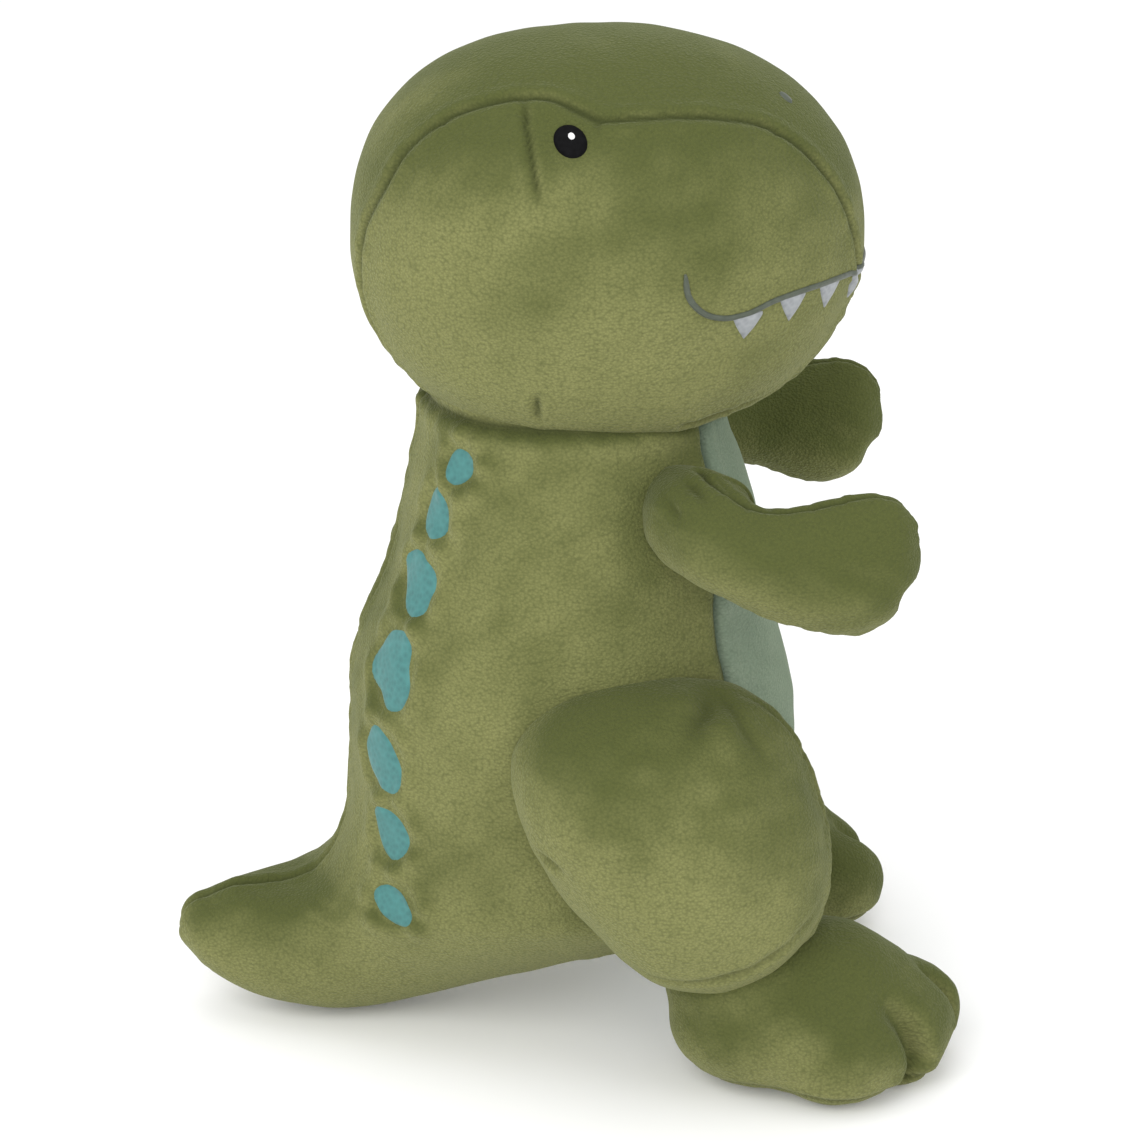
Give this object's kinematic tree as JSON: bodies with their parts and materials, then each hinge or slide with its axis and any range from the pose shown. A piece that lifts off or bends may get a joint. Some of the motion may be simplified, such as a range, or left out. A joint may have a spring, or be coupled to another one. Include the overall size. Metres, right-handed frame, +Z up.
{
  "type": "plush dinosaur",
  "caption": "Sitting short-pile plush dinosaur with a large head, stub arms, round thighs, three-toed feet, a resting tail and embroidered back spots.",
  "frame": {"origin": "on the floor, under the middle of the toy", "axes": "+Z up, -Y the way the toy faces, +X its left side"},
  "size_m": [0.156, 0.196, 0.2547],
  "materials": {
    "green_plush": "short-pile knitted plush, brushed nap",
    "belly_plush": "short-pile knitted plush, pale",
    "teal_thread": "filled embroidery, satin thread",
    "dark_thread": "satin stitch",
    "silver_thread": "satin stitch, silver grey",
    "black_thread": "satin stitch, black",
    "white_thread": "satin stitch, white",
    "stuffing": "loose polyester fibre fill",
    "pouch_cloth": "plain woven cotton bag of plastic pellets",
    "ribbon": "blank woven satin ribbon"
  },
  "bodies": {
    "body": {"body_side_right": "green_plush", "body_side_left": "green_plush", "belly_panel": "belly_plush", "seat_panel": "green_plush", "body_stuffing": "stuffing", "pellet_pouch": "pouch_cloth", "label_tag": "ribbon", "spot_right_1": "teal_thread", "spot_right_2": "teal_thread", "spot_right_3": "teal_thread", "spot_right_4": "teal_thread", "spot_right_5": "teal_thread", "spot_right_6": "teal_thread", "spot_right_7": "teal_thread", "spot_left_1": "teal_thread", "spot_left_2": "teal_thread", "spot_left_3": "teal_thread", "spot_left_4": "teal_thread", "spot_left_5": "teal_thread", "spot_left_6": "teal_thread", "spot_left_7": "teal_thread"},
    "head": {"head_top_gusset": "green_plush", "head_side_right": "green_plush", "head_side_left": "green_plush", "chin_gusset": "green_plush", "head_stuffing": "stuffing", "eye_right": "black_thread", "eye_left": "black_thread", "eye_glint_right": "white_thread", "eye_glint_left": "white_thread", "nostril_right": "dark_thread", "nostril_left": "dark_thread", "mouth_line": "dark_thread", "teeth_right": "silver_thread", "teeth_left": "silver_thread"},
    "tail": {"tail_side_right": "green_plush", "tail_side_left": "green_plush", "tail_stuffing": "stuffing"},
    "arm_right": {"arm_outer_right": "green_plush", "arm_inner_right": "green_plush", "arm_stuffing_right": "stuffing"},
    "leg_right": {"thigh_outer_right": "green_plush", "thigh_inner_right": "green_plush", "thigh_stuffing_right": "stuffing", "foot_upper_right": "green_plush", "foot_sole_right": "green_plush", "foot_stuffing_right": "stuffing"},
    "arm_left": {"arm_outer_left": "green_plush", "arm_inner_left": "green_plush", "arm_stuffing_left": "stuffing"},
    "leg_left": {"thigh_outer_left": "green_plush", "thigh_inner_left": "green_plush", "thigh_stuffing_left": "stuffing", "foot_upper_left": "green_plush", "foot_sole_left": "green_plush", "foot_stuffing_left": "stuffing"}
  },
  "joints": [
    {"name": "neck_nod", "type": "hinge", "parent": "body", "child": "head", "pos_m": [0, -0.003, 0.156], "axis": [1, 0, 0], "range_deg": [-12, 12], "stiffness_Nm_per_rad": 0.5},
    {"name": "shoulder_right", "type": "hinge", "parent": "body", "child": "arm_right", "pos_m": [-0.044, -0.026, 0.145], "axis": [-1, 0, 0], "range_deg": [-20, 30], "stiffness_Nm_per_rad": 0.15},
    {"name": "shoulder_left", "type": "hinge", "parent": "body", "child": "arm_left", "pos_m": [0.044, -0.034, 0.145], "axis": [-1, 0, 0], "range_deg": [-20, 30], "stiffness_Nm_per_rad": 0.15},
    {"name": "hip_right", "type": "hinge", "parent": "body", "child": "leg_right", "pos_m": [-0.046, -0.03, 0.065], "axis": [-1, 0, 0], "range_deg": [-5, 20], "stiffness_Nm_per_rad": 0.6},
    {"name": "hip_left", "type": "hinge", "parent": "body", "child": "leg_left", "pos_m": [0.046, -0.022, 0.065], "axis": [-1, 0, 0], "range_deg": [-5, 20], "stiffness_Nm_per_rad": 0.6},
    {"name": "tail_wag", "type": "hinge", "parent": "body", "child": "tail", "pos_m": [0, 0.008, 0.026], "axis": [0, 0, 1], "range_deg": [-12, 12], "stiffness_Nm_per_rad": 0.3}
  ]
}
